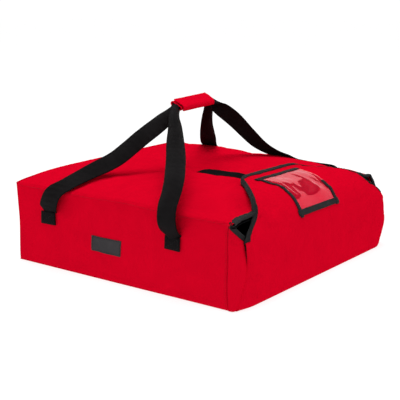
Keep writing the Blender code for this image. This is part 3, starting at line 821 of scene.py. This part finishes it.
def make_front():
    """The front sheet that runs on into the flap, its lining and the tape round the flap's free edges."""
    nodes = ("front_shell", "front_foam", "flap_shell", "flap_foam")
    skin = sew("front_skin", front_face, red, nodes)
    edge = edge_distance(front_face)
    depth = mix(edge_thickness, flap_thickness, smooth(edge / 0.02))
    inner = lift(front_face, -depth)
    liner = sew("front_liner", inner, lining, ("front_lining", "flap_lining"), side=1)
    u, v = spans(front_face)
    first, last = int(flap_tape_start * (sheet_rows - 1)), sheet_rows - 1 - 3.2
    up_left, across, down_right = [], [], []
    for row in np.linspace(first, last, 70):
        run = u[int(round(row))]
        up_left.append((np.full(4, row), leg_places(run)))
    for column in np.linspace(4, sheet_columns - 5, 60):
        run = v[-1, int(round(column))] - v[:, int(round(column))]
        across.append((leg_places(run), np.full(4, column)))
    for row in np.linspace(last, first, 70):
        run = u[int(round(row)), -1] - u[int(round(row))]
        down_right.append((np.full(4, row), leg_places(run)))
    rows, columns = np.array(up_left + across + down_right).transpose(1, 0, 2)
    face = place_on(front_face, rows, columns, 0.0002)
    under = place_on(inner, rows, columns, -0.0002)
    tape = tape_round("flap_tape", face[::-1], under[::-1], ("flap_binding",))
    inset = mix(face[:, 0], face[:, 1], 0.66)
    row_steps = np.clip(np.round(rows[:, 0]).astype(int), 0, sheet_rows - 1)
    column_steps = np.clip(np.round(columns[:, 0]).astype(int), 0, sheet_columns - 1)
    outward = normals(front_face)[row_steps, column_steps]
    threads = stitches("stitches_flap", [(inset + outward * 0.0011, outward)], black_thread)
    for piece in (skin, liner, tape, threads):
        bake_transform(piece)


def make_gussets():
    """The gussets between the side walls and the front sheet, with their linings and tapes."""
    for name, sign, places in (("left", -1, left_edge_places), ("right", 1, right_edge_places)):
        grid = gusset_grid(places, sign)
        skin = sew(f"gusset_skin_{name}", grid, red, (f"gusset_shell_{name}",))
        inner, node = lift(grid, -0.0012), f"gusset_lining_{name}"
        liner = sew(f"gusset_liner_{name}", inner, lining, (node,))
        columns = np.linspace(0, grid.shape[1] - 1, 40)
        u, v = spans(grid)
        rows = []
        for column in columns:
            run = v[-1, int(round(column))] - v[:, int(round(column))]
            rows.append(leg_places(run, gusset_leg))
        rows = np.array(rows)
        spread = np.repeat(columns[:, None], 4, axis=1)
        face = place_on(grid, rows, spread, 0.0003)
        under = place_on(grid, rows, spread, -0.0025)
        tape = tape_round(f"gusset_tape_{name}", face[::-1], under[::-1], (f"gusset_binding_{name}",))
        for piece in (skin, liner, tape):
            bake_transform(piece)


def make_window():
    """The clear ticket window and the tapes that sew it down. The right side is open towards the back."""
    front_row, back_row = sheet_row(window_front_y), sheet_row(window_back_y)
    u, v = across_and_up(60, 60)
    wavy = 0.0010 + 0.0004 * np.sin(u * 9 + v * 4) * np.sin(v * 7)
    base = sheet_spot(window_x + mix(-window_half, window_half, u) * 0.985, mix(front_row, back_row, v))
    pane = lift(base, wavy)
    sew("window_vinyl", pane, clear, ("window_pane",), vinyl_thickness, -1, "flap")
    metre_rows = (sheet_rows - 1) / sheet_length
    lines = []

    def strip(name, x_ends, row_ends, shape):
        u, v = across_and_up(*shape)
        spot = sheet_spot(window_x + mix(*x_ends, u), mix(*row_ends, v))
        crown = 0.0016 + 0.0004 * (1 - np.abs(2 * (u if shape[0] < shape[1] else v) - 1) ** 3)
        grid = lift(spot, crown + tape_crinkle * ripples(spot, crinkle_reach, 61))
        sew(f"window_tape_{name}", grid, tape_cloth, (f"window_binding_{name}",),
            tape_thickness, -1, "flap")
        long = np.linspace(0.02, 0.98, 60)
        for across in (0.18, 0.82):
            place = across + 0 * long
            share_u, share_v = (long, place) if shape[0] > shape[1] else (place, long)
            lines.append(line_on(grid, share_v * (shape[1] - 1), share_u * (shape[0] - 1)))

    front_end = front_row + window_front_tape * metre_rows
    back_start = back_row - window_side_tape * metre_rows
    inner = window_half - window_side_tape
    extra = window_tape_end
    strip("front", (-window_half - extra, window_half + extra * 0.6), (front_row, front_end), (50, 8))
    strip("back", (-window_half - extra, window_half), (back_start, back_row), (50, 8))
    strip("left", (-window_half, -inner), (front_row - extra * metre_rows, back_start), (8, 50))
    open_row = mix(front_end, back_start, window_open_share)
    strip("right", (inner, window_half), (front_row - extra * metre_rows * 0.5, open_row), (8, 40))
    stitches("stitches_window", lines, black_thread, "flap")


def make_strips():
    """The loop strip on the top and the hook strip under the flap."""
    u, v = across_and_up(14, 60)
    x = mix(-strip_half, strip_half, u)
    y = mix(rim_y(0.0) + strip_start, strip_end_y, v)
    tree, down = tree_of(top_face), Vector((0, 0, -1))
    z = [tree.ray_cast(Vector((*spot, 1)), down)[0].z for spot in zip(x.ravel(), y.ravel())]
    grid = np.stack([x, y, np.array(z).reshape(x.shape) + 0.0018], axis=-1)
    sew("loop_pile", grid, pile, ("loop_strip",), pile_thickness, -1, "bag_body")
    stitches("stitches_loop", box_on(grid, (0.06, 0.012)), black_thread, "bag_body")
    u, v = across_and_up(14, 40)
    rows = mix(sheet_row(hook_ends[0]), sheet_row(hook_ends[1]), v)
    spots = sheet_spot(mix(-hook_half, hook_half, u), rows)
    under = lift(spots, -flap_thickness - 0.0020)
    sew("hook_pile", under, pile, ("hook_strip",), pile_thickness, 1, "flap")


def on_side(name, y, z, height):
    """Places on a side wall's face, lifted off it."""
    sign = -1 if name == "left" else 1
    found = np.empty(y.shape + (3,))
    for spot in np.ndindex(y.shape):
        hit = side_trees[name].ray_cast(Vector((sign * 1.0, y[spot], z[spot])), Vector((-sign, 0, 0)))[0]
        found[spot] = (hit.x + sign * np.broadcast_to(height, y.shape)[spot], y[spot], z[spot])
    return found


def square_on_side(piece, name, middle, low, high, half, height, material, replaces, thickness):
    """A flat sewn piece on a side wall, with soft edges."""
    u, v = across_and_up(22, 16)
    sign = -1 if name == "left" else 1
    y = middle + sign * mix(-half, half, u)
    edge = np.minimum(np.minimum(u, 1 - u) * 2 * half, np.minimum(v, 1 - v) * (high - low))
    grid = on_side(name, y, mix(low, high, v), height + 0.0005 * smooth(edge / 0.002))
    sew(piece, grid, material, replaces, thickness, -1, "bag_body")
    return grid


def make_side_pieces():
    """The bare label on the left side and the webbing squares on both."""
    grid = square_on_side("label", "left", label_y, label_low, label_high, label_half, label_thickness,
                          label_cloth, ("side_label",), label_thickness)
    lines = box_on(grid, (0.03, 0.07))
    for end, (middle, low, high, half) in patches.items():
        for name in ("left", "right"):
            grid = square_on_side(f"patch_{end}_{name}", name, middle, low, high, half, patch_lift, webbing,
                                  (f"strap_patch_{end}_{name}",), patch_thickness)
            lines += box_on(grid, (0.10, 0.14), crossed=True)
    stitches("stitches_sides", lines, black_thread, "bag_body")
    seams = []
    for name, face in side_faces.items():
        columns = np.linspace(1, face.shape[1] - 2, 160)
        seams.append(line_on(face, face.shape[0] - 2.2 + 0 * columns, columns, 0.0002))
        rows = np.linspace(1, face.shape[0] - 2, 60)
        front = face.shape[1] - 2.2 if name == "left" else 1.2
        seams.append(line_on(face, rows, front + 0 * rows, 0.0002))
    stitches("stitches_seams", seams, red_thread, "bag_body")


def grip_spot(across, above, x):
    """A place in the grip's tilted section: across towards its low front edge, above its middle."""
    return (grip_y + grip_yaw * x - across * math.cos(grip_tilt) - above * math.sin(grip_tilt),
            grip_z + grip_climb * x - across * math.sin(grip_tilt) + above * math.cos(grip_tilt))


def strap_leg(end, sign, stack):
    """The guides of one handle's leg, from its lower end to the grip's middle: place, half width, twist."""
    patch_y, low, high, half = patches[end]
    face = sign * (half_width + side_swell)
    leg = [(face, patch_y, z, half, 0) for z in (low + 0.001, mix(low, high, 0.5), high)]
    leg += [np.array(guide) * guide_units for guide in strap_guides[end, sign]]
    twist = math.degrees(grip_tilt)
    for share in (1.05, 0.9, 0.5, 0.0):
        x = sign * grip_length / 2 * share
        y, z = grip_spot(0, stack, x)
        leg.append((x, y, z, strap_grip_half, twist))
    return [np.array(guide) for guide in leg]


def curve_place(points, share):
    """A place on the smooth curve that the points guide, a cubic B-spline, at a share of its run."""
    guides = [2 * points[0] - points[1]] + points + [2 * points[-1] - points[-2]]
    reach = share * (len(points) - 1)
    i = min(int(reach), len(points) - 2)
    t = reach - i
    weights = ((1 - t) ** 3, 3 * t ** 3 - 6 * t * t + 4, 3 * t + 3 * t * t - 3 * t ** 3 + 1, t ** 3)
    return sum(guides[i + k] * weight for k, weight in enumerate(weights)) / 6


def make_straps():
    """The two webbing handles, which curl up narrow on their way into the grip."""
    offset = (strap_thickness + 0.0003) / 2
    for end, stack in (("front", offset), ("rear", -offset)):
        route = strap_leg(end, -1, stack) + strap_leg(end, 1, stack)[-2::-1]
        line = np.array([curve_place(route, i / 300) for i in range(301)])
        middle, half, tilt = line[:, :3], line[:, 3], np.radians(line[:, 4])
        along = unit(np.gradient(middle, axis=0))
        wide = np.stack([0 * tilt, -np.cos(tilt), -np.sin(tilt)], axis=-1)
        wide = unit(wide - along * np.sum(wide * along, axis=1)[:, None])
        out = np.cross(wide, along)
        inside = smooth((grip_length / 2 + 0.004 - np.abs(middle[:, 0])) / 0.008)
        curl = half * np.sqrt(np.maximum(1.5 * (strap_width / 2 / half - 1), 0.002)) * (1 - 0.9 * inside)
        t = np.linspace(-1, 1, 15)
        grid = (middle[:, None] + wide[:, None] * (half[:, None] * t)[..., None]
                + out[:, None] * (curl[:, None] * (0.33 - t ** 2))[..., None])
        grid = lift(grid, 0.0006 * ripples(grid, (0.03, 0.02, 0.03), 41))
        strap = sew(f"strap_{end}_webbing", grid, webbing, (f"strap_{end}",),
                    strap_thickness, 0)
        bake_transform(strap)


def grip_turn(middle, reach, start, end, steps=12):
    """Places across and above the grip's middle, on an arc about one of its edges."""
    return [(middle + reach * math.sin(angle), reach * math.cos(angle))
            for angle in np.linspace(start, end, steps)]


def grip_piece(name, outline, half_length, thickness, material, replaces, body, seed):
    """A padded sheet that runs along the grip, bent to an outline of places across and above its middle."""
    x = np.linspace(-half_length, half_length, 60)
    grid = np.array([[(place, *grip_spot(*spot, place)) for place in x] for spot in outline])
    grid = lift(grid, 0.0009 * ripples(grid, (0.022, 0.012, 0.012), seed))
    return sew(name, grid, material, replaces, thickness, -1, body)


def make_grip():
    """The wrap round the webbing, the cover that closes over it, and their hook-and-loop tapes."""
    reach = grip_half_lift + grip_cloth
    outline = [(grip_slot / 2, -reach)] + grip_turn(grip_half_across, reach, math.pi, 0)
    outline += grip_turn(-grip_half_across, reach, 0, -math.pi) + [(-grip_slot / 2, -reach)]
    half = grip_length / 2
    wrap = grip_piece("grip_padding", outline, half, grip_cloth, red, ("grip_wrap",),
                      "handle", 51)
    loop_top = reach + grip_pile
    hook_top = loop_top + grip_pile
    for name, top, node, body in (("grip_loop", loop_top, "grip_loop_tape", "handle"),
                                  ("grip_hook", hook_top, "grip_hook_tape", "grip_cover")):
        places = [(mix(grip_half_across, -grip_half_across * 0.6, share), top)
                  for share in np.linspace(0, 1, 8)]
        grip_piece(name, places, half - 0.006, grip_pile, pile, (node,), body, 53)
    top = hook_top + 0.0003 + grip_cloth
    places = grip_turn(grip_half_across, top, math.pi * 0.56, 0) + [
        (mix(grip_half_across, -grip_half_across - 0.001, share), top) for share in np.linspace(0.1, 1, 12)]
    cover = grip_piece("grip_flap", places, half - grip_cover_inset, grip_cloth, red,
                       ("grip_cover",), "grip_cover", 57)


def make_stage():
    """A plain white floor, the sky of a studio and the camera."""
    mesh = bpy.data.meshes.new("floor")
    corners = [(x * floor_half, y * floor_half, 0) for x, y in ((-1, -1), (1, -1), (1, 1), (-1, 1))]
    mesh.from_pydata(corners, [], [(0, 1, 2, 3)])
    floor = bpy.data.objects.new("floor", mesh)
    bpy.context.scene.collection.objects.link(floor)
    floor.location.z = -floor_drop
    material = bpy.data.materials.new("floor_white")
    nodes, links, shader = nodes_of(material)
    set_sockets(shader, {"Base Color": (floor_tone, floor_tone, floor_tone, 1), "Roughness": 1,
                         "Specular IOR Level": 0, "Emission Color": (1, 1, 1, 1),
                         "Emission Strength": floor_glow})
    mesh.materials.append(material)

    world = bpy.data.worlds.new("studio")
    bpy.context.scene.world = world
    world.use_nodes = True
    nodes, links = world.node_tree.nodes, world.node_tree.links
    background = nodes["Background"]
    coordinates = nodes.new("ShaderNodeTexCoord")
    split = nodes.new("ShaderNodeSeparateXYZ")
    links.new(coordinates.outputs["Generated"], split.inputs[0])
    ramp = nodes.new("ShaderNodeValToRGB")
    links.new(split.outputs[2], ramp.inputs["Fac"])
    elements = ramp.color_ramp.elements
    for place, value in sky_stops[1:-1]:
        elements.new(place)
    for element, (place, value) in zip(elements, sky_stops):
        element.position = place
        element.color = (value, value, value, 1)
    links.new(ramp.outputs["Color"], background.inputs["Color"])
    background.inputs["Strength"].default_value = sky_strength

    lamp = bpy.data.lights.new("overhead", "AREA")
    lamp.shape = "DISK"
    lamp.size = lamp_size
    lamp.energy = lamp_energy
    light = bpy.data.objects.new("overhead", lamp)
    light.location = (0.1, 0.1, 3.0)
    bpy.context.scene.collection.objects.link(light)

    camera = bpy.data.objects.new("camera", bpy.data.cameras.new("camera"))
    bpy.context.scene.collection.objects.link(camera)
    up = camera_back.cross(camera_right)
    turn = Matrix((camera_right, up, camera_back)).transposed()
    camera.matrix_world = Matrix.Translation(camera_place) @ turn.to_4x4()
    camera.data.lens = camera_lens
    camera.data.sensor_width = 36
    bpy.context.scene.camera = camera
    bpy.context.scene.view_settings.view_transform = "Standard"


make_stage()
make_walls()
make_mouth_tape()
make_front()
make_gussets()
make_window()
make_strips()
make_side_pieces()
make_straps()
make_grip()
